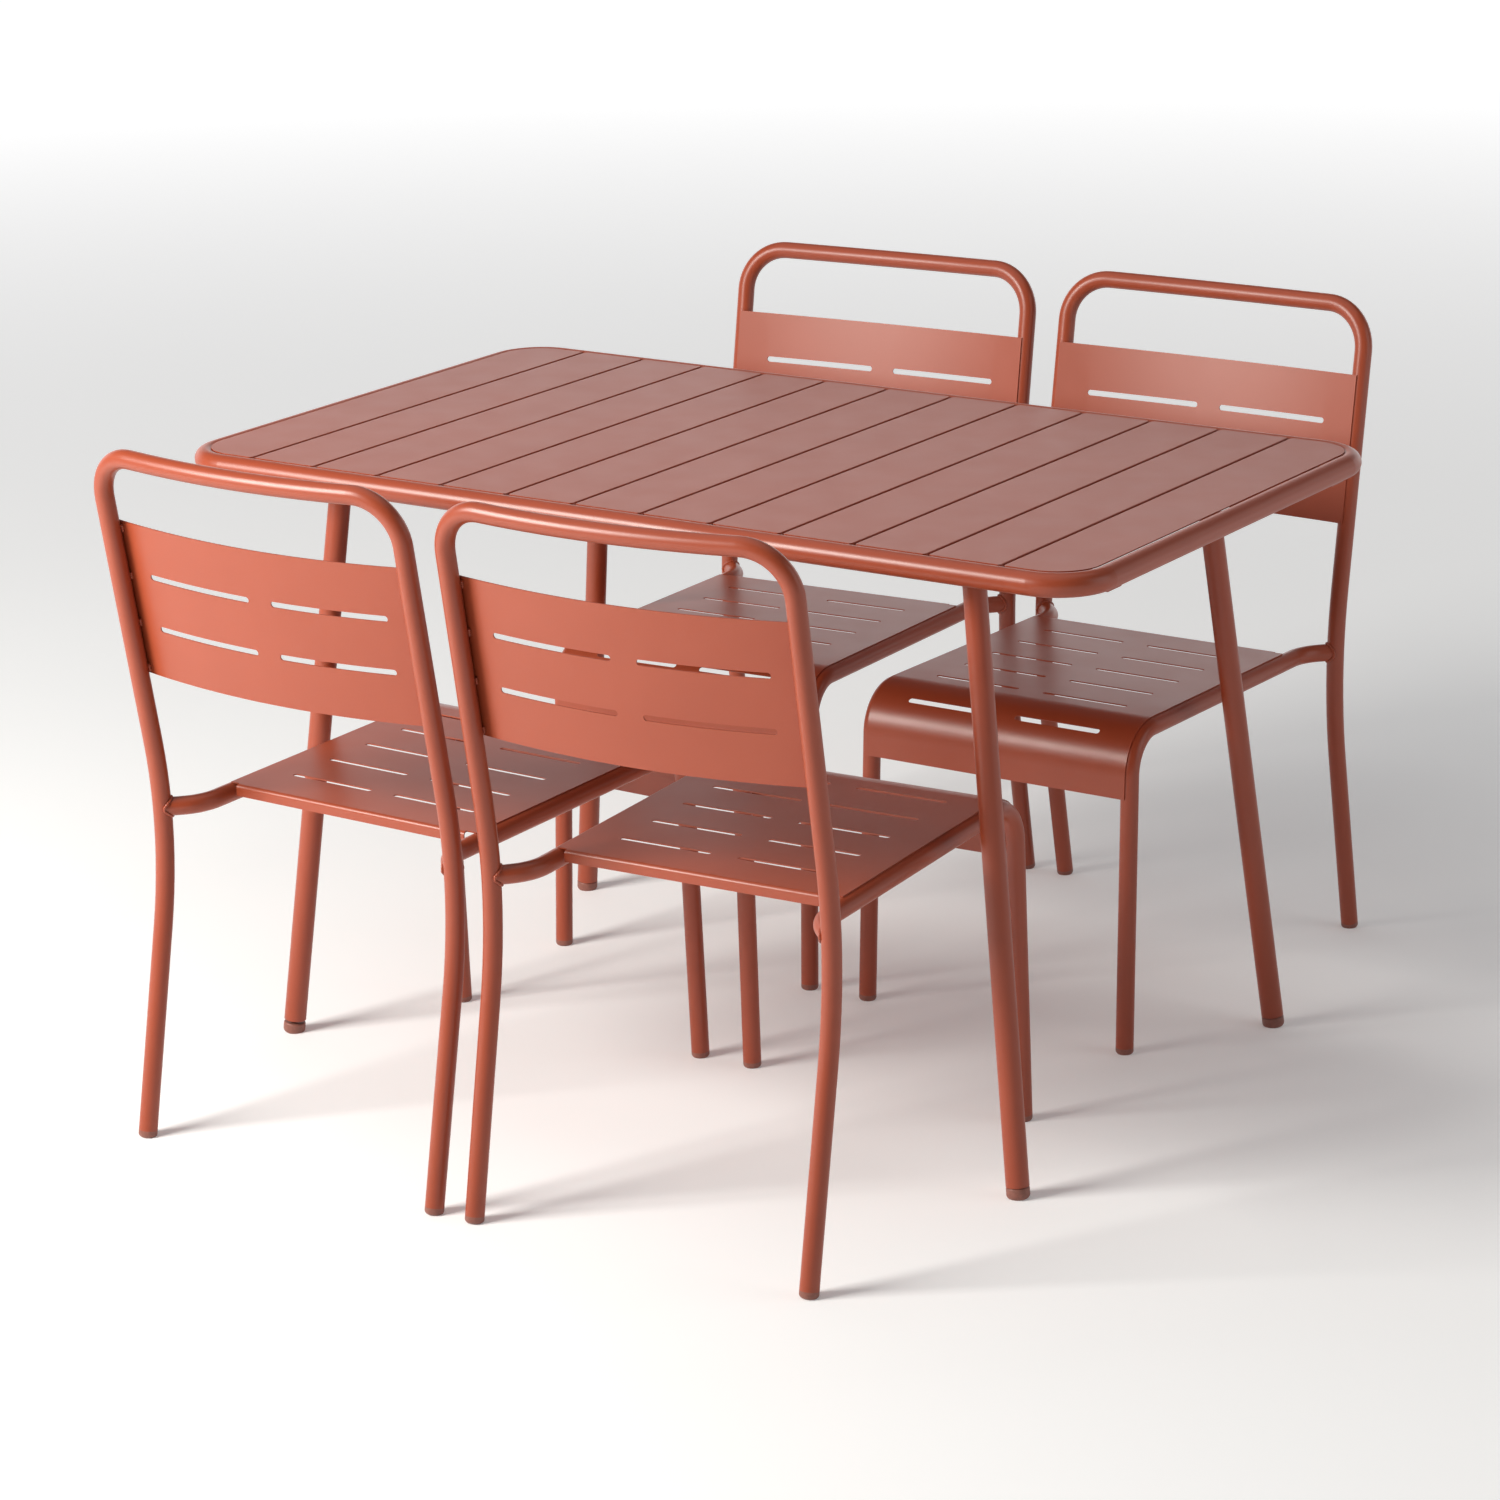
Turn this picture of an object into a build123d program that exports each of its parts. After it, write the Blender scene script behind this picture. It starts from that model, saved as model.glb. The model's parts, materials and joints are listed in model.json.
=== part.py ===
"""Patio dining set: a slatted steel table and four stacking chairs, each piece its own solid.

Millimetres, +Z up. The origin is on the floor under the middle of the table, +X runs along the
table's long side and +Y from the near pair of chairs to the far pair.
"""
from build123d import *
from math import cos, radians, sin, tan
import os

os.makedirs("parts", exist_ok=True)

# ---------------------------------------------------------------- table sizes
TABLE_LENGTH = 1250.0
TABLE_WIDTH = 720.0
TABLE_HEIGHT = 735.0
TABLE_TUBE_RADIUS = 13.5
TUBE_WALL = 1.5
RING_CORNER_RADIUS = 59.0

SLAT_COUNT = 13
SLAT_WIDTH = 89.8
SLAT_GAP = 3.5
SLAT_SHEET = 1.4
SLAT_FLANGE_DEPTH = 16.0
SLAT_FLANGE_SETBACK = 9.0
SLAT_FOLD_RADIUS = 1.2
SLAT_CORNER_RELIEF = 3.0
SLAT_INSET = 7.0

SUPPORT_BAR_WIDTH = 30.0
SUPPORT_BAR_HEIGHT = 14.0
SUPPORT_BAR_WALL = 1.5
LEG_PLATE_LENGTH = 92.0
LEG_PLATE_WIDTH = 36.0
LEG_PLATE_THICKNESS = 4.0
BOLT_SPREAD = 35.0
BOLT_RADIUS = 3.0
BOLT_HOLE_RADIUS = 3.05
BOLT_HEAD_HEIGHT = 4.0
BOLT_HEAD_RADIUS = 5.6
BOLT_SHANK_LENGTH = 12.0

LEG_FOOT_X = 518.0
LEG_FOOT_Y = 314.0
LEG_TOP_X = 437.0
LEG_TOP_Y = 269.0

PAD_HEIGHT = 13.0
PAD_TOP_EDGE_RADIUS = 2.0
PAD_BOTTOM_EDGE_RADIUS = 6.0
PAD_SINK = 1.7
PAD_CLEARANCE = 0.4
STEM_RADIUS = 4.9
STEM_LENGTH = 38.0
STEM_CHAMFER = 0.8
STEM_SOCKET_DEPTH = 5.0
INSERT_LENGTH = 28.0
INSERT_BORE_RADIUS = 5.0
# how far each levelling foot stands unscrewed at rest
FOOT_EXTENSION = {"near_left": 3.2, "near_right": 0.0, "far_right": 0.0, "far_left": 0.0}

# ---------------------------------------------------------------- chair sizes
CHAIR_TUBE_RADIUS = 11.0
BACK_HALF_WIDTH = 214.0
REAR_FOOT_Y = -70.0
KNEE_Z = 357.5
BACK_TOP_Y = -82.0
BACK_TOP_Z = 821.0
KNEE_RADIUS = 616.0
SHOULDER_RADIUS = 56.0
TOP_RAIL_BOW_ANGLE = 7.2

SEAT_HALF_WIDTH = 181.0
FRONT_FOOT_HALF_WIDTH = 184.0
FRONT_FOOT_Y = 483.0
SEAT_FRONT_Y = 467.0
SEAT_FRONT_Z = 396.5
FRONT_BEND_RADIUS = 50.0
FLARE_Y = 22.0
SEAT_REAR_Z = 387.5
RAIL_END_Y = -12.0
FLARE_RADIUS = 60.0

SHEET = 1.5
SHEET_CLEARANCE = 0.05
SEAT_REAR_Y = 67.0
SEAT_LIP_DEPTH = 12.0
SEAT_LIP_RADIUS = 3.0
SEAT_NOTCH_WIDTH = 13.0
SEAT_NOTCH_DEPTH = 5.0
APRON_BOTTOM_Z = 320.5
SLOT_WIDTH = 7.0
SEAT_SLOT_LENGTH = 117.0
SEAT_SLOT_INNER_X = 17.0
SEAT_SLOT_ROWS = 5
SEAT_SLOT_PITCH = 66.0
SEAT_SLOTS_BEHIND_FRONT = 207.0
FRONT_SLOT_ANGLE = 41.0

BACK_PANEL_START = 196.5
BACK_PANEL_HEIGHT = 188.0
BACK_PANEL_BOW = 20.0
BACK_PANEL_OFFSET = 11.3
BACK_SLOT_LENGTH = 155.0
BACK_SLOT_INNER_X = 16.0
BACK_SLOT_PITCH = 64.0

CAP_HEIGHT = 7.5
CAP_SINK = 1.2
CAP_PLUG_LENGTH = 14.0
CAP_PLUG_CLEARANCE = 0.05
CAP_EDGE_RADIUS = 5.0

# where each chair stands: x and y of the middle of its rear legs' knees, and its heading
CHAIR_PLACES = {
    "near_left": (-231.0, -608.0, -1.6),
    "near_right": (245.0, -601.0, 2.6),
    "far_left": (-257.0, 608.0, 183.2),
    "far_right": (224.0, 622.0, 179.7),
}
# the four corners of the table, as signs of x and y
CORNERS = {
    "near_left": (-1, -1),
    "near_right": (1, -1),
    "far_right": (1, 1),
    "far_left": (-1, 1),
}


def save(part, name):
    """Label a finished piece and write it as its own node."""
    part.label = name
    export_step(part, f"parts/{name}.step")


def mirrored(point):
    """The same point on the other side of a chair's middle plane."""
    return Vector(-point.X, point.Y, point.Z)


# ================================================================= table top ring
ring_z = TABLE_HEIGHT - TABLE_TUBE_RADIUS
ring_x = TABLE_LENGTH / 2 - TABLE_TUBE_RADIUS
ring_y = TABLE_WIDTH / 2 - TABLE_TUBE_RADIUS


def half_ring(bore_radius):
    """One bent half of the ring; a bore of zero gives the solid outer shape."""
    with BuildPart() as half:
        with BuildLine() as path:
            FilletPolyline(
                (0, -ring_y, ring_z),
                (ring_x, -ring_y, ring_z),
                (ring_x, ring_y, ring_z),
                (0, ring_y, ring_z),
                radius=RING_CORNER_RADIUS,
            )
        with BuildSketch(Plane(origin=(0, -ring_y, ring_z), z_dir=(1, 0, 0))):
            Circle(TABLE_TUBE_RADIUS)
            if bore_radius > 0:
                Circle(bore_radius, mode=Mode.SUBTRACT)
        sweep(path=path.wires()[0])
        mirror(about=Plane.YZ)
    return half.part


ring = half_ring(TABLE_TUBE_RADIUS - TUBE_WALL)
ring_outer = half_ring(0)
save(ring, "table_ring")

# ================================================================= table slats
slat_half_length = ring_y - SLAT_INSET
flange_half_length = slat_half_length - SLAT_FLANGE_SETBACK
slat_pitch = SLAT_WIDTH + SLAT_GAP
slat_under_z = TABLE_HEIGHT - SLAT_SHEET

for number in range(SLAT_COUNT):
    middle_x = (number - (SLAT_COUNT - 1) / 2) * slat_pitch
    # an end slat lies along the ring on its outer side, so only its inner side is folded down
    folded_sides = [side for side in (-1, 1) if abs(middle_x + side * slat_pitch) < ring_x]
    with BuildPart() as slat:
        with BuildSketch(Plane.XY.offset(slat_under_z)) as sheet:
            with Locations((middle_x, 0)):
                Rectangle(SLAT_WIDTH, 2 * slat_half_length)
            chamfer(sheet.vertices(), SLAT_CORNER_RELIEF)
            RectangleRounded(
                2 * (ring_x - SLAT_INSET),
                2 * slat_half_length,
                RING_CORNER_RADIUS - SLAT_INSET,
                mode=Mode.INTERSECT,
            )
        extrude(amount=SLAT_SHEET)
        for side in folded_sides:
            flange_x = middle_x + side * (SLAT_WIDTH - SLAT_SHEET) / 2
            with BuildSketch(Plane.XY.offset(slat_under_z)):
                with Locations((flange_x, 0)):
                    Rectangle(SLAT_SHEET, 2 * flange_half_length)
            extrude(amount=SLAT_SHEET - SLAT_FLANGE_DEPTH)
        folds = slat.edges().filter_by(Axis.Y).group_by(Axis.Z)[-1]
        folds = [edge for edge in folds if abs(edge.center().X) < ring_x - SLAT_WIDTH / 2]
        fillet(folds, SLAT_FOLD_RADIUS)
    save(slat.part, f"table_slat_{number + 1:02d}")

# ================================================================= bars under the slats
bar_top_z = TABLE_HEIGHT - SLAT_FLANGE_DEPTH
bar_under_z = bar_top_z - SUPPORT_BAR_HEIGHT
plate_under_z = bar_under_z - LEG_PLATE_THICKNESS
bolt_offsets = [(-BOLT_SPREAD, 0), (BOLT_SPREAD, 0)]

for side, name in ((-1, "near"), (1, "far")):
    with BuildPart() as bar:
        with BuildSketch(Plane.YZ):
            with Locations((side * LEG_TOP_Y, (bar_top_z + bar_under_z) / 2)):
                Rectangle(SUPPORT_BAR_WIDTH, SUPPORT_BAR_HEIGHT)
                Rectangle(
                    SUPPORT_BAR_WIDTH - 2 * SUPPORT_BAR_WALL,
                    SUPPORT_BAR_HEIGHT - 2 * SUPPORT_BAR_WALL,
                    mode=Mode.SUBTRACT,
                )
        extrude(amount=ring_x, both=True)
        add(ring_outer, mode=Mode.SUBTRACT)
        with BuildSketch(Plane.XY.offset(bar_under_z)):
            for end in (-1, 1):
                with Locations((end * LEG_TOP_X, side * LEG_TOP_Y)):
                    with Locations(*bolt_offsets):
                        Circle(BOLT_HOLE_RADIUS)
        extrude(amount=SUPPORT_BAR_WALL, mode=Mode.SUBTRACT)
    save(bar.part, f"table_bar_{name}")

# ================================================================= legs and their fixings
leg_tops = [(x * LEG_TOP_X, y * LEG_TOP_Y) for x, y in CORNERS.values()]

with BuildPart() as leg_plates:
    with BuildSketch(Plane.XY.offset(plate_under_z)):
        with Locations(*leg_tops):
            RectangleRounded(LEG_PLATE_LENGTH, LEG_PLATE_WIDTH, 6)
            with Locations(*bolt_offsets):
                Circle(BOLT_HOLE_RADIUS, mode=Mode.SUBTRACT)
    extrude(amount=LEG_PLATE_THICKNESS)
save(leg_plates.part, "table_leg_plates")

with BuildPart() as leg_bolts:
    with BuildSketch(Plane.XY.offset(plate_under_z)):
        with Locations(*leg_tops):
            with Locations(*bolt_offsets):
                RegularPolygon(BOLT_HEAD_RADIUS, 6)
    extrude(amount=-BOLT_HEAD_HEIGHT)
    with BuildSketch(Plane.XY.offset(plate_under_z)):
        with Locations(*leg_tops):
            with Locations(*bolt_offsets):
                Circle(BOLT_RADIUS)
    extrude(amount=BOLT_SHANK_LENGTH)
save(leg_bolts.part, "table_leg_bolts")


def along_leg(corner, distance):
    """The plane square to a table leg, this far up the leg from where it meets the floor."""
    x, y = CORNERS[corner]
    foot = Vector(x * LEG_FOOT_X, y * LEG_FOOT_Y, 0)
    top = Vector(x * LEG_TOP_X, y * LEG_TOP_Y, plate_under_z)
    upward = (top - foot).normalized()
    return Plane(origin=foot + upward * distance, z_dir=upward)


for corner in CORNERS:
    leg_end = PAD_HEIGHT + PAD_CLEARANCE + FOOT_EXTENSION[corner]
    with BuildPart() as leg:
        with BuildSketch(along_leg(corner, leg_end)):
            Circle(TABLE_TUBE_RADIUS)
            Circle(TABLE_TUBE_RADIUS - TUBE_WALL, mode=Mode.SUBTRACT)
        extrude(amount=TABLE_HEIGHT)
        split(bisect_by=Plane.XY.offset(plate_under_z), keep=Keep.BOTTOM)
    save(leg.part, f"table_leg_{corner}")

    with BuildPart() as pad:
        with BuildSketch(along_leg(corner, -PAD_SINK)):
            Circle(TABLE_TUBE_RADIUS)
        extrude(amount=PAD_HEIGHT + PAD_SINK)
        fillet(pad.faces().sort_by(Axis.Z)[0].edges(), PAD_BOTTOM_EDGE_RADIUS)
        fillet(pad.faces().sort_by(Axis.Z)[-1].edges(), PAD_TOP_EDGE_RADIUS)
        split(bisect_by=Plane.XY, keep=Keep.TOP)
        with BuildSketch(along_leg(corner, PAD_HEIGHT)):
            Circle(STEM_RADIUS)
        extrude(amount=-STEM_SOCKET_DEPTH, mode=Mode.SUBTRACT)
    save(pad.part, f"foot_pad_{corner}")

    with BuildPart() as stem:
        with BuildSketch(along_leg(corner, PAD_HEIGHT - STEM_SOCKET_DEPTH)):
            Circle(STEM_RADIUS)
        extrude(amount=STEM_LENGTH)
        chamfer(stem.faces().sort_by(Axis.Z)[-1].edges(), STEM_CHAMFER)
    save(stem.part, f"foot_stem_{corner}")

with BuildPart() as leg_inserts:
    for corner in CORNERS:
        leg_end = PAD_HEIGHT + PAD_CLEARANCE + FOOT_EXTENSION[corner]
        with BuildSketch(along_leg(corner, leg_end)):
            Circle(TABLE_TUBE_RADIUS - TUBE_WALL)
            Circle(INSERT_BORE_RADIUS, mode=Mode.SUBTRACT)
        extrude(amount=INSERT_LENGTH)
save(leg_inserts.part, "table_leg_inserts")

# ================================================================= chair frame
# chair pieces are drawn facing +Y about the middle of the rear knees, then set in place
rear_foot = Vector(BACK_HALF_WIDTH, REAR_FOOT_Y, 0)
knee = Vector(BACK_HALF_WIDTH, 0, KNEE_Z)
shoulder = Vector(BACK_HALF_WIDTH, BACK_TOP_Y, BACK_TOP_Z)
front_foot = Vector(FRONT_FOOT_HALF_WIDTH, FRONT_FOOT_Y, 0)
seat_corner = Vector(SEAT_HALF_WIDTH, SEAT_FRONT_Y, SEAT_FRONT_Z)
flare_corner = Vector(SEAT_HALF_WIDTH, FLARE_Y, SEAT_REAR_Z)
rail_end = Vector(BACK_HALF_WIDTH, RAIL_END_Y, SEAT_REAR_Z)

rear_leg_up = (knee - rear_foot).normalized()
front_leg_up = (seat_corner - front_foot).normalized()
reclined = (shoulder - knee).normalized()
ahead = Vector(0, reclined.Z, -reclined.Y)

# the top rail leaves each shoulder turned a little to the rear and bows across to the other
bow = radians(TOP_RAIL_BOW_ANGLE)
inward = Vector(-cos(bow), 0, 0) - ahead * sin(bow)
rail_start = shoulder + inward * (SHOULDER_RADIUS + 3)
rail_middle = Vector(0, rail_start.Y, rail_start.Z) - ahead * (rail_start.X * tan(bow / 2))


def back_frame_tube(bore_radius):
    """Both rear legs, both uprights and the top rail as one bent tube or solid bar."""
    tube_start = rear_foot + rear_leg_up * CAP_HEIGHT
    right = [tube_start, knee, shoulder, rail_start]
    left = [mirrored(point) for point in reversed(right)]
    with BuildPart() as tube:
        with BuildLine() as path:
            FilletPolyline(*right, radius=[KNEE_RADIUS, SHOULDER_RADIUS])
            ThreePointArc(rail_start, rail_middle, mirrored(rail_start))
            FilletPolyline(*left, radius=[SHOULDER_RADIUS, KNEE_RADIUS])
        with BuildSketch(Plane(origin=tube_start, z_dir=rear_leg_up)):
            Circle(CHAIR_TUBE_RADIUS)
            if bore_radius > 0:
                Circle(bore_radius, mode=Mode.SUBTRACT)
        sweep(path=path.wires()[0])
    return tube.part


bore = CHAIR_TUBE_RADIUS - TUBE_WALL
back_frame = back_frame_tube(bore)
back_frame_outer = back_frame_tube(0)

with BuildPart() as seat_rail_right:
    tube_start = front_foot + front_leg_up * CAP_HEIGHT
    with BuildLine() as path:
        FilletPolyline(
            tube_start,
            seat_corner,
            flare_corner,
            rail_end,
            radius=[FRONT_BEND_RADIUS, FLARE_RADIUS],
        )
    with BuildSketch(Plane(origin=tube_start, z_dir=front_leg_up)):
        Circle(CHAIR_TUBE_RADIUS)
        Circle(bore, mode=Mode.SUBTRACT)
    sweep(path=path.wires()[0])
    add(back_frame_outer, mode=Mode.SUBTRACT)

with BuildPart() as seat_rail_left:
    add(seat_rail_right.part)
    mirror(about=Plane.YZ, mode=Mode.REPLACE)

# ================================================================= chair seat
rearward = (flare_corner - seat_corner).normalized()
seat_up = Vector(0, rearward.Z, -rearward.Y)
front_out = Vector(0, front_leg_up.Z, -front_leg_up.Y)
sheet_offset = CHAIR_TUBE_RADIUS + SHEET_CLEARANCE
bend_share = (seat_up + front_out) / (1 + seat_up.dot(front_out))

# the sheet's underside runs from the folded rear lip over the seat and down the apron
rail_over_rear = seat_corner + rearward * ((SEAT_FRONT_Y - SEAT_REAR_Y) / -rearward.Y)
seat_rear = Vector(0, rail_over_rear.Y, rail_over_rear.Z) + seat_up * sheet_offset
lip_foot = seat_rear - seat_up * SEAT_LIP_DEPTH
sheet_corner = seat_corner + bend_share * sheet_offset
apron_foot = (
    seat_corner
    - front_leg_up * ((SEAT_FRONT_Z - APRON_BOTTOM_Z) / front_leg_up.Z)
    + front_out * sheet_offset
)
bend_center = seat_corner - bend_share * FRONT_BEND_RADIUS
bend_turn = radians(FRONT_SLOT_ANGLE)
front_slot_out = seat_up * cos(bend_turn) - rearward * sin(bend_turn)
slot_row_spread = SEAT_SLOT_LENGTH + 2 * SEAT_SLOT_INNER_X
seat_middle = seat_corner + rearward * SEAT_SLOTS_BEHIND_FRONT + seat_up * sheet_offset

with BuildPart() as seat_panel:
    with BuildSketch(Plane.YZ):
        with BuildLine():
            FilletPolyline(
                *[(point.Y, point.Z) for point in (lip_foot, seat_rear, sheet_corner, apron_foot)],
                radius=[SEAT_LIP_RADIUS, FRONT_BEND_RADIUS + sheet_offset],
            )
            offset(amount=SHEET, side=Side.LEFT)
        make_face()
    extrude(amount=SEAT_HALF_WIDTH, both=True)
    # the rear corners are notched so the folded lip drops between the rails
    with BuildSketch(Plane(origin=seat_rear, x_dir=(1, 0, 0), z_dir=seat_up)):
        with GridLocations(2 * SEAT_HALF_WIDTH, 1, 2, 1):
            Rectangle(2 * SEAT_NOTCH_WIDTH, 2 * SEAT_NOTCH_DEPTH)
    extrude(amount=2 * SEAT_LIP_DEPTH, both=True, mode=Mode.SUBTRACT)
    with BuildSketch(Plane(origin=(0, seat_middle.Y, seat_middle.Z), x_dir=(1, 0, 0), z_dir=seat_up)):
        with GridLocations(slot_row_spread, SEAT_SLOT_PITCH, 2, SEAT_SLOT_ROWS):
            SlotOverall(SEAT_SLOT_LENGTH, SLOT_WIDTH)
    extrude(amount=5, both=True, mode=Mode.SUBTRACT)
    with BuildSketch(
        Plane(origin=(0, bend_center.Y, bend_center.Z), x_dir=(1, 0, 0), z_dir=front_slot_out)
    ):
        with GridLocations(slot_row_spread, SEAT_SLOT_PITCH, 2, 1):
            SlotOverall(SEAT_SLOT_LENGTH, SLOT_WIDTH)
    extrude(amount=2 * FRONT_BEND_RADIUS, mode=Mode.SUBTRACT)

# ================================================================= chair back
back_low = Vector(0, knee.Y, knee.Z) + reclined * BACK_PANEL_START
back_middle = back_low + reclined * (BACK_PANEL_HEIGHT / 2)

with BuildPart() as back_panel:
    with BuildSketch(Plane(origin=back_low, x_dir=(1, 0, 0), z_dir=reclined)):
        with BuildLine():
            ThreePointArc(
                (-BACK_HALF_WIDTH, BACK_PANEL_OFFSET),
                (0, BACK_PANEL_OFFSET - BACK_PANEL_BOW),
                (BACK_HALF_WIDTH, BACK_PANEL_OFFSET),
            )
            offset(amount=SHEET, side=Side.LEFT)
        make_face()
    extrude(amount=BACK_PANEL_HEIGHT)
    with BuildSketch(Plane(origin=back_middle, x_dir=(1, 0, 0), z_dir=ahead)):
        with GridLocations(BACK_SLOT_LENGTH + 2 * BACK_SLOT_INNER_X, BACK_SLOT_PITCH, 2, 2):
            SlotOverall(BACK_SLOT_LENGTH, SLOT_WIDTH)
    extrude(amount=2 * BACK_PANEL_BOW, both=True, mode=Mode.SUBTRACT)

# ================================================================= chair foot caps


def foot_cap(foot, upward):
    """A plastic cap plugged into the end of a leg and worn flat where it meets the floor."""
    with BuildPart() as cap:
        with BuildSketch(Plane(origin=foot - upward * CAP_SINK, z_dir=upward)):
            Circle(CHAIR_TUBE_RADIUS)
        extrude(amount=CAP_HEIGHT + CAP_SINK)
        fillet(cap.faces().sort_by(Axis.Z)[0].edges(), CAP_EDGE_RADIUS)
        split(bisect_by=Plane.XY, keep=Keep.TOP)
        with BuildSketch(Plane(origin=foot + upward * CAP_HEIGHT, z_dir=upward)):
            Circle(bore - CAP_PLUG_CLEARANCE)
        extrude(amount=CAP_PLUG_LENGTH)
    return cap.part


with BuildPart() as foot_caps:
    for foot, upward in ((rear_foot, rear_leg_up), (front_foot, front_leg_up)):
        add(foot_cap(foot, upward))
    mirror(about=Plane.YZ)

# ================================================================= the four chairs
chair_pieces = {
    "back_frame": back_frame,
    "rail_left": seat_rail_left.part,
    "rail_right": seat_rail_right.part,
    "seat_panel": seat_panel.part,
    "back_panel": back_panel.part,
    "foot_caps": foot_caps.part,
}
for chair, (x, y, heading) in CHAIR_PLACES.items():
    place = Location((x, y, 0), (0, 0, heading))
    for piece, shape in chair_pieces.items():
        save(shape.moved(place), f"chair_{chair}_{piece}")
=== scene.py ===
import json
import math
import random

import bmesh
import bpy
from mathutils import Matrix, Quaternion, Vector
from mathutils.bvhtree import BVHTree


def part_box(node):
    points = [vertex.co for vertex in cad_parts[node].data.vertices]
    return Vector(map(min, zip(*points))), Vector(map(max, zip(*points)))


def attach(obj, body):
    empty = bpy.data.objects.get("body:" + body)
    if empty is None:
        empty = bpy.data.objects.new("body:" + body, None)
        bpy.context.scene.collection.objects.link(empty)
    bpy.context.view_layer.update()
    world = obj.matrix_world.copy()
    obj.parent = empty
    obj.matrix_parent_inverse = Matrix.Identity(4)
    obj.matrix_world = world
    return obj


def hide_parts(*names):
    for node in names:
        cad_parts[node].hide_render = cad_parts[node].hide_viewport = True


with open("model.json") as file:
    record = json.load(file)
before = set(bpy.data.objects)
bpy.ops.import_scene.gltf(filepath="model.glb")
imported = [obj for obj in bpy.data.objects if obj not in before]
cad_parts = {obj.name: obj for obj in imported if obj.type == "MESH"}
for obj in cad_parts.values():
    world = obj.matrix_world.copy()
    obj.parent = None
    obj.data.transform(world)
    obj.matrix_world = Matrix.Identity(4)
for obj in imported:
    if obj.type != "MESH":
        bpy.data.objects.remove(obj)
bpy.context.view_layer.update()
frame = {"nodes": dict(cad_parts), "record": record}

MM = 0.001
random.seed(11)

CORNERS = ("near_left", "near_right", "far_right", "far_left")
CHAIRS = ("near_left", "near_right", "far_left", "far_right")

# ------------------------------------------------------------------ the look's settings
TERRACOTTA = (0.322, 0.056, 0.021)
TERRACOTTA_DEEP = (0.308, 0.052, 0.019)
TERRACOTTA_PALE = (0.336, 0.060, 0.024)

CAMERA_AT = (2.79220, -4.24969, 1.92791)
CAMERA_BEARING = 0.5782
CAMERA_HEIGHT_ANGLE = 0.3024
CAMERA_ROLL = -0.0176
CAMERA_LENS = 105.384
CAMERA_SHIFT = (-0.02687, 0.0092)
SENSOR_WIDTH = 36.0

FLOOR_REACH = 14.0
FLOOR_WHITE = (0.86, 0.86, 0.86)
# how strongly the floor glows near the set and far from it, and where the far glow is reached
FLOOR_GLOW_NEAR, FLOOR_GLOW_FAR = 0.15, 0.95
GLOW_STARTS, GLOW_FULL = 1.0, 8.0

# the bright wall behind the far chairs reaches up to this height of direction, then fades out
WALL_TOP, WALL_GONE = 0.30, 0.34
WALL_DIRECTION = (-0.52, 0.85, 0.0)
WALL_EDGE, WALL_MIDDLE = 0.35, 0.75
WALL_WHITE = (1.45, 1.45, 1.45)
ROOM_GREY = (0.10, 0.10, 0.102)
SEEN_WHITE = (0.95, 0.95, 0.95, 1.0)


# ------------------------------------------------------------------ materials
def new_material(name):
    """A material with only its output and a Principled shader in it."""
    material = bpy.data.materials.new(name)
    material.use_nodes = True
    nodes = material.node_tree.nodes
    nodes.clear()
    output = nodes.new("ShaderNodeOutputMaterial")
    shader = nodes.new("ShaderNodeBsdfPrincipled")
    material.node_tree.links.new(shader.outputs["BSDF"], output.inputs["Surface"])
    return material, nodes, material.node_tree.links, shader


def noise(nodes, links, coordinates, scale, detail=3.0, roughness=0.5):
    """A noise value, its scale in features per metre."""
    node = nodes.new("ShaderNodeTexNoise")
    node.inputs["Scale"].default_value = scale
    node.inputs["Detail"].default_value = detail
    node.inputs["Roughness"].default_value = roughness
    links.new(coordinates, node.inputs["Vector"])
    return node.outputs["Fac"]


def ramp(nodes, links, value, stops):
    """A colour ramp through (position, colour) stops."""
    node = nodes.new("ShaderNodeValToRGB")
    elements = node.color_ramp.elements
    while len(elements) < len(stops):
        elements.new(0.5)
    for element, (position, colour) in zip(elements, stops):
        element.position = position
        element.color = (*colour, 1.0)
    links.new(value, node.inputs["Fac"])
    return node.outputs["Color"]


def spread(nodes, links, value, low, high, from_low=0.3, from_high=0.7):
    """A value brought from one range into another."""
    node = nodes.new("ShaderNodeMapRange")
    node.inputs["From Min"].default_value = from_low
    node.inputs["From Max"].default_value = from_high
    node.inputs["To Min"].default_value = low
    node.inputs["To Max"].default_value = high
    links.new(value, node.inputs["Value"])
    return node.outputs["Result"]


def bump(nodes, links, height, strength, distance, below=None):
    """A bump from a height, laid over another bump if there is one below it."""
    node = nodes.new("ShaderNodeBump")
    node.inputs["Strength"].default_value = strength
    node.inputs["Distance"].default_value = distance
    links.new(height, node.inputs["Height"])
    if below is not None:
        links.new(below, node.inputs["Normal"])
    return node.outputs["Normal"]


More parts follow.
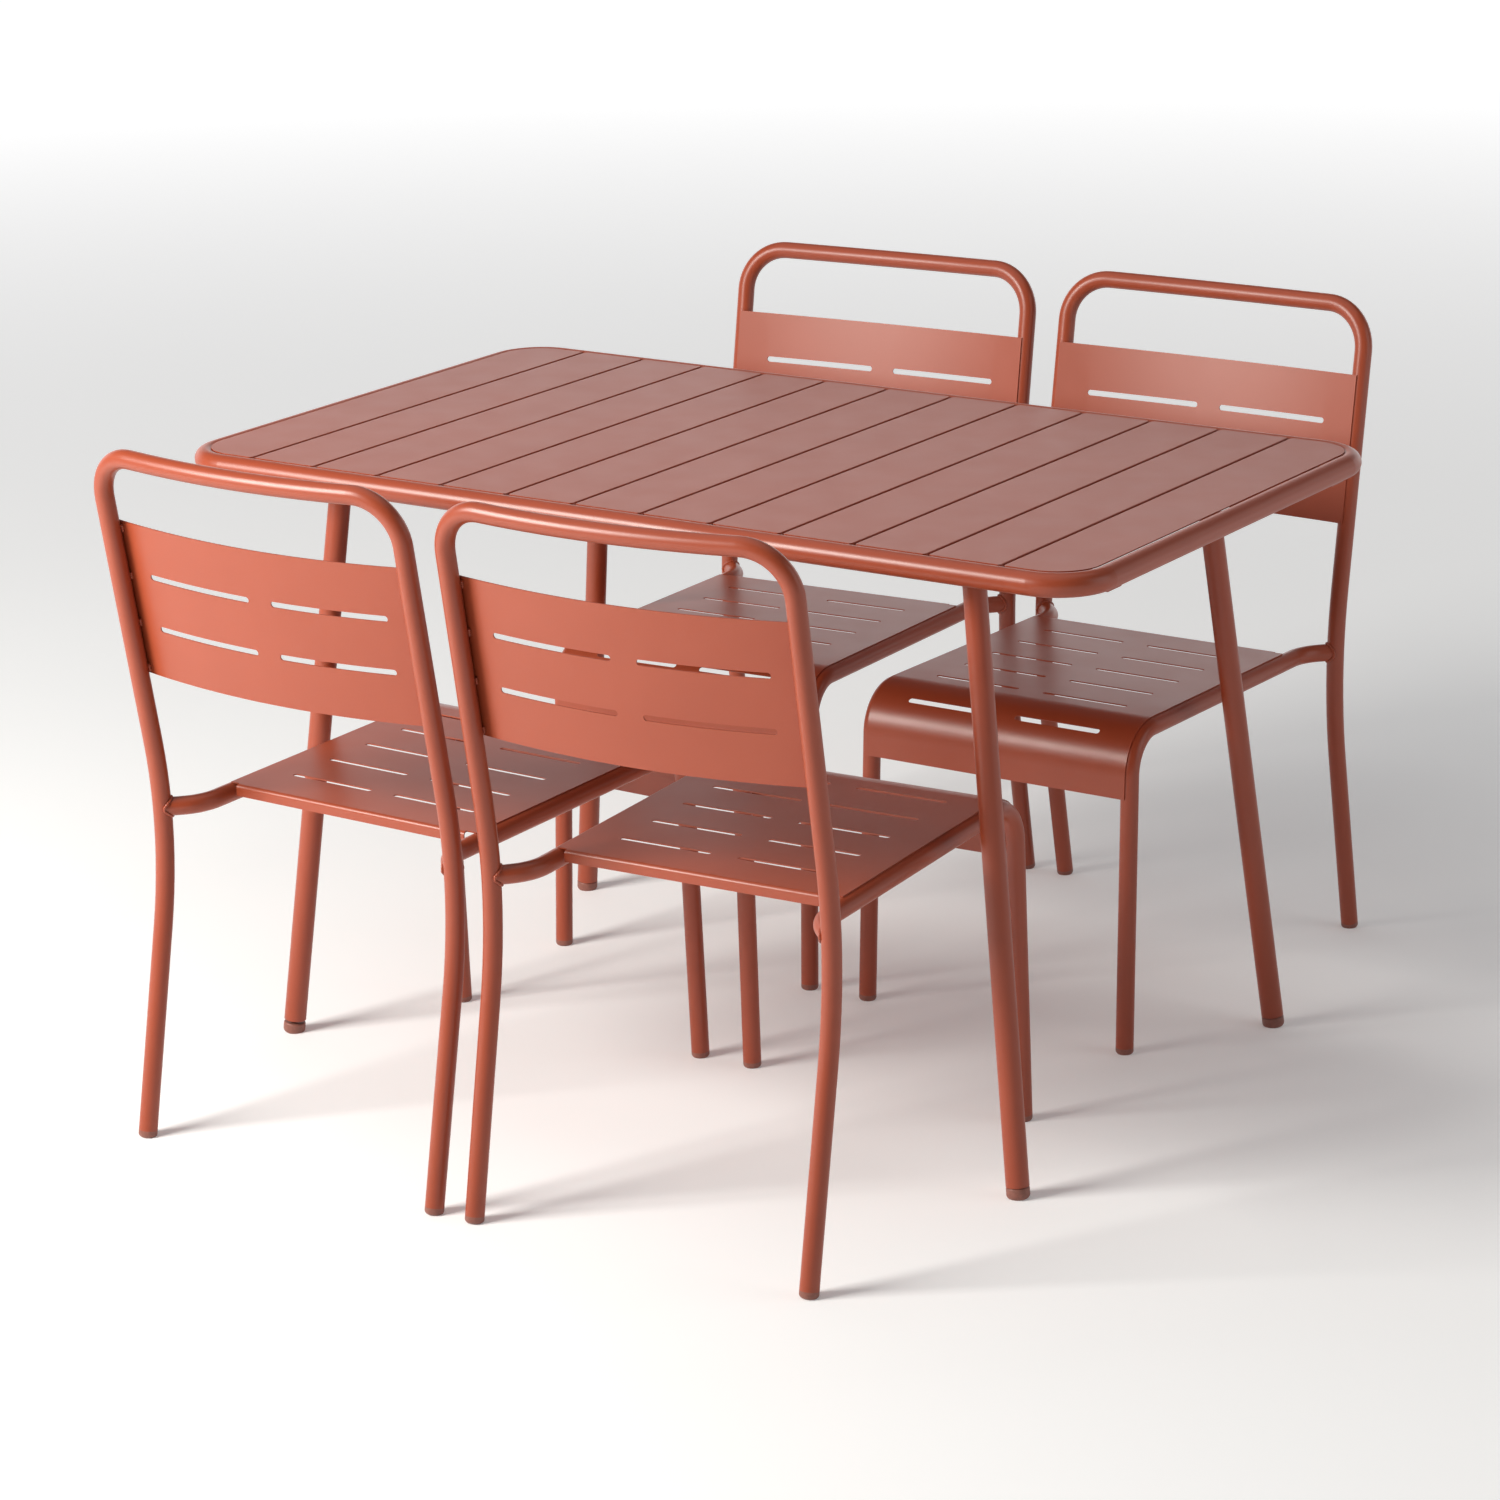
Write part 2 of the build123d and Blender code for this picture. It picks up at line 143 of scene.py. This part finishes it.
def powder_coat(name, roughness, grain_depth, peel_depth):
    """Satin powder coat: fine grain, a slow orange peel, and a little drift in colour and gloss."""
    material, nodes, links, shader = new_material(name)
    place = nodes.new("ShaderNodeTexCoord").outputs["Object"]
    drift = noise(nodes, links, place, 9.0, 2.0)
    speckle = noise(nodes, links, place, 900.0, 2.0, 0.6)
    peel = noise(nodes, links, place, 260.0, 2.0)
    rubbed = noise(nodes, links, place, 22.0, 2.0)
    mixed = nodes.new("ShaderNodeMix")
    mixed.data_type = "FLOAT"
    mixed.inputs["Factor"].default_value = 0.45
    links.new(drift, mixed.inputs["A"])
    links.new(speckle, mixed.inputs["B"])
    stops = [(0.30, TERRACOTTA_DEEP), (0.50, TERRACOTTA), (0.70, TERRACOTTA_PALE)]
    links.new(ramp(nodes, links, mixed.outputs["Result"], stops), shader.inputs["Base Color"])
    gloss = spread(nodes, links, rubbed, roughness - 0.012, roughness + 0.016)
    links.new(gloss, shader.inputs["Roughness"])
    normal = bump(nodes, links, peel, 0.5, peel_depth)
    normal = bump(nodes, links, speckle, 0.5, grain_depth, normal)
    links.new(normal, shader.inputs["Normal"])
    return material


def moulded_plastic(name, deep, pale, roughness):
    """Moulded plastic: a fine mould grain, and scuffs that are paler and duller."""
    material, nodes, links, shader = new_material(name)
    place = nodes.new("ShaderNodeTexCoord").outputs["Object"]
    grain = noise(nodes, links, place, 1400.0, 3.0, 0.6)
    scuffs = noise(nodes, links, place, 160.0, 5.0, 0.7)
    links.new(
        ramp(nodes, links, scuffs, [(0.35, deep), (0.75, pale)]), shader.inputs["Base Color"]
    )
    links.new(
        spread(nodes, links, scuffs, roughness - 0.08, roughness + 0.1), shader.inputs["Roughness"]
    )
    links.new(bump(nodes, links, grain, 0.6, 0.00008), shader.inputs["Normal"])
    return material


def zinc_plate(name):
    """Zinc plated steel: cloudy in colour and gloss, with a fine grain."""
    material, nodes, links, shader = new_material(name)
    place = nodes.new("ShaderNodeTexCoord").outputs["Object"]
    cloud = noise(nodes, links, place, 140.0, 5.0, 0.65)
    fine = noise(nodes, links, place, 2600.0, 2.0)
    links.new(
        ramp(nodes, links, cloud, [(0.3, (0.42, 0.42, 0.40)), (0.7, (0.66, 0.66, 0.64))]),
        shader.inputs["Base Color"],
    )
    links.new(spread(nodes, links, cloud, 0.42, 0.26), shader.inputs["Roughness"])
    links.new(bump(nodes, links, fine, 0.4, 0.00004), shader.inputs["Normal"])
    shader.inputs["Metallic"].default_value = 1.0
    return material


frame_coat = powder_coat("frame_coat", 0.34, 0.014 * MM, 0.006 * MM)
panel_coat = powder_coat("panel_coat", 0.34, 0.020 * MM, 0.010 * MM)
slat_coat = powder_coat("slat_coat", 0.36, 0.030 * MM, 0.006 * MM)
foot_plastic = moulded_plastic("foot_plastic", (0.210, 0.072, 0.050), (0.290, 0.110, 0.080), 0.45)
insert_plastic = moulded_plastic("insert_plastic", (0.012, 0.012, 0.012), (0.03, 0.03, 0.03), 0.5)
zinc = zinc_plate("zinc_plate")

SLOT_MATERIALS = {
    "frame_paint": frame_coat,
    "panel_paint": panel_coat,
    "slat_paint": slat_coat,
    "foot_plastic": foot_plastic,
    "insert_plastic": insert_plastic,
    "zinc_steel": zinc,
}
for part in frame["record"]["subparts"]:
    node = frame["nodes"][part["node"]]
    node.data.materials.clear()
    node.data.materials.append(SLOT_MATERIALS[part["material_slot"]])


# ------------------------------------------------------------------ welds and threads
BEAD_SIDES = 8
RIPPLE = 2.4 * MM
RIPPLE_SHARE = 0.14
UNEVEN_SHARE = 0.05


def bead(mesh, path, radius, closed):
    """A rippled weld bead along a path: closed on itself, or tapered to both ends."""
    count = len(path)
    rings = []
    for number, point in enumerate(path):
        after = path[(number + 1) % count] if closed or number < count - 1 else point
        before = path[number - 1] if closed or number > 0 else point
        along = (after - before).normalized()
        side = side - along * side.dot(along) if rings else along.orthogonal()
        side.normalize()
        across = along.cross(side)
        travelled = number * (after - before).length / 2
        ripple = RIPPLE_SHARE * math.sin(2 * math.pi * travelled / RIPPLE)
        girth = radius * (1 + ripple + random.uniform(-UNEVEN_SHARE, UNEVEN_SHARE))
        if not closed:
            reach = 2 * number / (count - 1) - 1
            girth *= max(0.12, 1 - reach ** 6) ** 0.5
        rings.append([
            mesh.verts.new(point + girth * (side * math.cos(turn) + across * math.sin(turn)))
            for turn in (2 * math.pi * k / BEAD_SIDES for k in range(BEAD_SIDES))
        ])
    if closed:
        # the last ring meets the first one with the least twist
        gaps = [(vert.co - rings[-1][0].co).length for vert in rings[0]]
        turned = gaps.index(min(gaps))
        join_rings(mesh, rings)
        join_rings(mesh, [rings[-1], rings[0][turned:] + rings[0][:turned]])
    else:
        close_ends(mesh, rings)
        join_rings(mesh, rings)


def join_rings(mesh, rings):
    """Faces from each ring of vertices to the next one."""
    for low_ring, high_ring in zip(rings, rings[1:]):
        for k in range(len(low_ring)):
            j = (k + 1) % len(low_ring)
            mesh.faces.new((low_ring[k], low_ring[j], high_ring[j], high_ring[k]))


def close_ends(mesh, rings):
    mesh.faces.new(list(reversed(rings[0])))
    mesh.faces.new(rings[-1])


def straight_bead(mesh, middle, half, radius, steps, place=Matrix()):
    """A tapered bead from middle - half to middle + half, set in place."""
    start, end = place @ (middle - half), place @ (middle + half)
    bead(mesh, [start.lerp(end, k / (steps - 1)) for k in range(steps)], radius, False)


def circle(middle, across, sideways, radius, count):
    """Points round a circle, as pairs of the spoke's direction and the point."""
    for k in range(count):
        turn = 2 * math.pi * k / count
        spoke = across * math.cos(turn) + sideways * math.sin(turn)
        yield spoke, middle + spoke * radius


def finish_piece(name, mesh, body, slot):
    """Turn a bmesh into a smooth named piece that rides on a body."""
    bmesh.ops.recalc_face_normals(mesh, faces=mesh.faces[:])
    data = bpy.data.meshes.new(name)
    mesh.to_mesh(data)
    mesh.free()
    data.shade_smooth()
    data.materials.append(SLOT_MATERIALS[slot])
    piece = bpy.data.objects.new(name, data)
    bpy.context.scene.collection.objects.link(piece)
    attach(piece, body)
    return piece


record_joints = {joint["name"]: joint for joint in frame["record"]["behaviour"]["joints"]}
record_mounts = {mount["name"]: Vector(mount["pos_m"]) for mount in frame["record"]["mounts"]}
UP = Vector((0, 0, 1))

# ------------------------------------------------------------------ a chair's welds
# a chair's own measures, from the middle of its rear knees, facing +Y
TUBE_RADIUS = 11.0 * MM
SEAT_MARK = Vector((0, 259.79 * MM, 0))
FLARE_CORNER = Vector((181.0, 22.0, 387.5)) * MM
RAIL_END = Vector((214.0, -12.0, 387.5)) * MM
RAIL_FRONT_Y, RAIL_FRONT_Z = 467.0 * MM, 396.5 * MM
RAIL_RUN, RAIL_DROP = 445.0 * MM, 9.0 * MM
KNEE = Vector((0, 0, 357.5)) * MM
RECLINED = Vector((0, -0.1742, 0.9847))
AHEAD = Vector((0, 0.9847, 0.1742))
PANEL_START = 196.5 * MM

RAIL_BEAD_POINTS = 112
RAIL_BEAD_RADIUS = 1.7 * MM
PANEL_TACK_HEIGHTS = (8 * MM, 65 * MM, 123 * MM, 180 * MM)
PANEL_TACK_AHEAD = 8.4 * MM
PANEL_TACK_X = 205.0 * MM
PANEL_TACK_RADIUS = 2.0 * MM
STITCH_DISTANCES = (96 * MM, 200 * MM, 304 * MM, 400 * MM)
STITCH_X = 174.6 * MM
STITCH_RISE = 9.9 * MM
STITCH_HALF = Vector((0, 7.5, 0.15)) * MM
STITCH_RADIUS = 1.5 * MM


def chair_place(chair):
    """The chair's own axes in the set: its pull joint slides it straight back."""
    forward = -Vector(record_joints[f"pull_{chair}"]["axis"]).normalized()
    rightward = forward.cross(UP).normalized()
    turn = Matrix((rightward, forward, UP)).transposed()
    seat = record_mounts[f"seat_{chair}"]
    return Matrix.Translation(Vector((seat.x, seat.y, 0)) - turn @ SEAT_MARK) @ turn.to_4x4()


def rail_bead(mesh, place, side, upright):
    """The bead where a seat rail's flared end meets the upright, found on the upright's surface."""
    mirror = Matrix.Diagonal((side, 1, 1, 1))
    start = place @ mirror @ FLARE_CORNER
    heading = (place @ mirror @ RAIL_END - start).normalized()
    across = heading.cross(UP).normalized()
    rays = circle(start + heading * 25 * MM, across, UP, TUBE_RADIUS - 0.5 * MM, RAIL_BEAD_POINTS)
    path = []
    for spoke, origin in rays:
        hit = upright.ray_cast(origin, heading, 80 * MM)[0]
        if hit is not None:
            path.append(hit + spoke * 1.0 * MM - heading * 0.6 * MM)
    bead(mesh, path, RAIL_BEAD_RADIUS, True)


for chair in CHAIRS:
    place = chair_place(chair)
    body = f"chair_{chair}"
    tube = frame["nodes"][f"chair_{chair}_back_frame"].data
    upright = BVHTree.FromPolygons(
        [vertex.co for vertex in tube.vertices], [polygon.vertices[:] for polygon in tube.polygons]
    )

    rail_welds = bmesh.new()
    for side in (-1, 1):
        rail_bead(rail_welds, place, side, upright)
    finish_piece(f"chair_{chair}_rail_welds", rail_welds, body, "frame_paint")

    panel_tacks = bmesh.new()
    for side in (-1, 1):
        for height in PANEL_TACK_HEIGHTS:
            height += random.uniform(-1.5, 1.5) * MM
            middle = KNEE + RECLINED * (PANEL_START + height) + AHEAD * PANEL_TACK_AHEAD
            middle.x = side * PANEL_TACK_X
            half = RECLINED * random.uniform(4.2, 5.2) * MM
            straight_bead(panel_tacks, middle, half, PANEL_TACK_RADIUS, 20, place)
    finish_piece(f"chair_{chair}_panel_tacks", panel_tacks, body, "frame_paint")

    stitches = bmesh.new()
    for side in (-1, 1):
        for distance in STITCH_DISTANCES:
            rail_z = RAIL_FRONT_Z - RAIL_DROP * (RAIL_FRONT_Y - distance) / RAIL_RUN
            middle = Vector((side * STITCH_X, distance, rail_z + STITCH_RISE))
            straight_bead(stitches, middle, STITCH_HALF, STITCH_RADIUS, 30, place)
    finish_piece(f"chair_{chair}_seat_stitches", stitches, body, "panel_paint")

# ------------------------------------------------------------------ the table's welds
LEG_BEAD_POINTS = 140
LEG_BEAD_REACH = 14.4 * MM
LEG_BEAD_RADIUS = 2.0 * MM
BAR_STITCH_RADIUS = 1.5 * MM
RING_STITCH_RADIUS = 1.3 * MM
RING_STITCH_X = 26 * MM
SLAT_COUNT = 13


def leg_axes(corner):
    """The middle of a levelling stem, its leg's direction upward, and two directions square to it."""
    low, high = (Vector(point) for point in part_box(f"foot_stem_{corner}"))
    upward = Vector(record_joints[f"level_{corner}"]["axis"]).normalized()
    upward = upward if upward.z > 0 else -upward
    across = upward.orthogonal().normalized()
    return (low + high) / 2, upward, across, upward.cross(across)


# each leg is welded to its plate all round
leg_bead_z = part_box("table_leg_plates")[0][2] - 1.0 * MM
leg_welds = bmesh.new()
for corner in CORNERS:
    middle, upward, across, sideways = leg_axes(corner)
    around = circle(middle, across, sideways, LEG_BEAD_REACH, LEG_BEAD_POINTS)
    path = [point + upward * ((leg_bead_z - point.z) / upward.z) for _, point in around]
    bead(leg_welds, path, LEG_BEAD_RADIUS, True)
finish_piece("table_leg_welds", leg_welds, "table", "frame_paint")

# the slats are stitched to both bars along their folds, and to the ring at their ends
bars = [sum((Vector(point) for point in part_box(bar)), Vector()) / 2
        for bar in ("table_bar_near", "table_bar_far")]
slat_welds = bmesh.new()
for number in range(1, SLAT_COUNT + 1):
    low, high = (Vector(point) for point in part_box(f"table_slat_{number:02d}"))
    folds = []
    if number > 1:
        folds.append(low.x + 2.4 * MM)
    if number < SLAT_COUNT:
        folds.append(high.x - 2.4 * MM)
    for fold_x in folds:
        for bar in bars:
            middle = Vector((fold_x, bar.y, low.z + 0.9 * MM))
            half = Vector((0, random.uniform(10, 12.5) * MM, 0))
            straight_bead(slat_welds, middle, half, BAR_STITCH_RADIUS, 34)
    for y in (low.y + 2.3 * MM, high.y - 2.3 * MM):
        for x in (-RING_STITCH_X, RING_STITCH_X):
            middle = Vector(((low.x + high.x) / 2 + x, y, high.z - 2.7 * MM))
            half = Vector((random.uniform(6, 8) * MM, 0, 0))
            straight_bead(slat_welds, middle, half, RING_STITCH_RADIUS, 24)
finish_piece("table_slat_welds", slat_welds, "table", "slat_paint")

# ------------------------------------------------------------------ the levelling feet's threads
THREAD_PITCH = 1.5 * MM
THREAD_RADIUS = 4.9 * MM
THREAD_DEPTH = 0.85 * MM
THREAD_SLOPE = 2.2
THREAD_LEAD_IN = 1.2 * MM
LEAD_IN_DEPTH = 0.7 * MM
STEM_LENGTH = 38.0 * MM
STEM_ROWS = 190
STEM_SIDES = 28

for corner in CORNERS:
    middle, upward, across, sideways = leg_axes(corner)
    stem = bmesh.new()
    rows = []
    for row in range(STEM_ROWS + 1):
        rise = STEM_LENGTH * row / STEM_ROWS
        tip = min(1.0, min(rise, STEM_LENGTH - rise) / THREAD_LEAD_IN)
        ring = []
        for k in range(STEM_SIDES):
            phase = (rise / THREAD_PITCH - k / STEM_SIDES) % 1.0
            depth = THREAD_DEPTH * min(1.0, THREAD_SLOPE * abs(phase - 0.5))
            reach = THREAD_RADIUS - depth - (1 - tip) * LEAD_IN_DEPTH
            turn = 2 * math.pi * k / STEM_SIDES
            spoke = across * math.cos(turn) + sideways * math.sin(turn)
            ring.append(stem.verts.new(middle + upward * (rise - STEM_LENGTH / 2) + spoke * reach))
        rows.append(ring)
    join_rings(stem, rows)
    close_ends(stem, rows)
    piece = finish_piece(f"stem_thread_{corner}", stem, f"foot_{corner}", "zinc_steel")
    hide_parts(f"foot_stem_{corner}")


# ------------------------------------------------------------------ floor and light
def floor_material(name, colour, roughness):
    """A matt floor, barely clouded, that glows a little near the set and more far from it."""
    material, nodes, links, shader = new_material(name)
    place = nodes.new("ShaderNodeTexCoord").outputs["Object"]
    cloud = noise(nodes, links, place, 1.5, 3.0)
    dark = tuple(0.985 * c for c in colour)
    links.new(ramp(nodes, links, cloud, [(0.3, dark), (0.7, colour)]), shader.inputs["Base Color"])
    shader.inputs["Roughness"].default_value = roughness
    shader.inputs["Specular IOR Level"].default_value = 0.1
    far_off = nodes.new("ShaderNodeVectorMath")
    far_off.operation = "LENGTH"
    links.new(place, far_off.inputs[0])
    glow = spread(
        nodes, links, far_off.outputs["Value"],
        FLOOR_GLOW_NEAR, FLOOR_GLOW_FAR, GLOW_STARTS, GLOW_FULL,
    )
    links.new(glow, shader.inputs["Emission Strength"])
    shader.inputs["Emission Color"].default_value = SEEN_WHITE
    return material


floor_mesh = bpy.data.meshes.new("floor")
floor_mesh.from_pydata(
    [(x * FLOOR_REACH, y * FLOOR_REACH, 0) for x, y in ((-1, -1), (1, -1), (1, 1), (-1, 1))],
    [],
    [(0, 1, 2, 3)],
)
floor_mesh.materials.append(floor_material("floor_white", FLOOR_WHITE, 0.9))
floor = bpy.data.objects.new("floor", floor_mesh)
bpy.context.scene.collection.objects.link(floor)


def area_light(name, place, aim, size, power, colour=(1, 1, 1)):
    """A rectangular light, its size in metres and its power in watts, turned to face a point."""
    data = bpy.data.lights.new(name, "AREA")
    data.shape = "RECTANGLE"
    data.size, data.size_y = size
    data.energy = power
    data.color = colour
    light = bpy.data.objects.new(name, data)
    light.location = place
    light.rotation_mode = "QUATERNION"
    light.rotation_quaternion = (Vector(aim) - Vector(place)).to_track_quat("-Z", "Y")
    bpy.context.scene.collection.objects.link(light)
    return light


area_light("key", (-1.75, -2.75, 2.05), (0.0, -0.2, 0.6), (1.4, 1.4), 170, (1.0, 0.98, 0.93))
area_light("top", (-0.3, 0.0, 3.6), (0.0, 0.0, 0.5), (4.0, 4.0), 30)
area_light("fill", (3.6, 1.0, 1.7), (0.3, 0.3, 0.6), (2.5, 2.5), 22)

# a bright low wall stands behind the far chairs; the room above and around it is dim in reflections
# and white to look at
world = bpy.data.worlds.new("studio")
world.use_nodes = True
world_nodes, world_links = world.node_tree.nodes, world.node_tree.links
background = world_nodes["Background"]
direction = world_nodes.new("ShaderNodeTexCoord").outputs["Generated"]
split = world_nodes.new("ShaderNodeSeparateXYZ")
world_links.new(direction, split.inputs["Vector"])
low = spread(world_nodes, world_links, split.outputs["Z"], 1.0, 0.0, WALL_TOP, WALL_GONE)
towards = world_nodes.new("ShaderNodeVectorMath")
towards.operation = "DOT_PRODUCT"
towards.inputs[1].default_value = WALL_DIRECTION
world_links.new(direction, towards.inputs[0])
facing = towards.outputs["Value"]
ahead = spread(world_nodes, world_links, facing, 0.0, 1.0, WALL_EDGE, WALL_MIDDLE)
both = world_nodes.new("ShaderNodeMath")
both.operation = "MULTIPLY"
world_links.new(low, both.inputs[0])
world_links.new(ahead, both.inputs[1])
stops = [(0.0, ROOM_GREY), (1.0, WALL_WHITE)]
room = ramp(world_nodes, world_links, both.outputs["Value"], stops)
seen = world_nodes.new("ShaderNodeMixRGB")
light_path = world_nodes.new("ShaderNodeLightPath")
world_links.new(light_path.outputs["Is Camera Ray"], seen.inputs["Fac"])
world_links.new(room, seen.inputs["Color1"])
seen.inputs["Color2"].default_value = SEEN_WHITE
world_links.new(seen.outputs["Color"], background.inputs["Color"])
bpy.context.scene.world = world
bpy.context.scene.view_settings.view_transform = "Standard"

# ------------------------------------------------------------------ camera
camera = bpy.data.objects.new("camera", bpy.data.cameras.new("camera"))
camera.data.lens = CAMERA_LENS
camera.data.sensor_width = SENSOR_WIDTH
camera.data.shift_x, camera.data.shift_y = CAMERA_SHIFT
camera.data.clip_start = 0.1
camera.data.clip_end = 60.0
camera.location = CAMERA_AT
backward = Vector((
    math.sin(CAMERA_BEARING) * math.cos(CAMERA_HEIGHT_ANGLE),
    -math.cos(CAMERA_BEARING) * math.cos(CAMERA_HEIGHT_ANGLE),
    math.sin(CAMERA_HEIGHT_ANGLE),
))
camera.rotation_mode = "QUATERNION"
camera.rotation_quaternion = Quaternion(backward, CAMERA_ROLL) @ (-backward).to_track_quat("-Z", "Y")
bpy.context.scene.collection.objects.link(camera)
bpy.context.scene.camera = camera
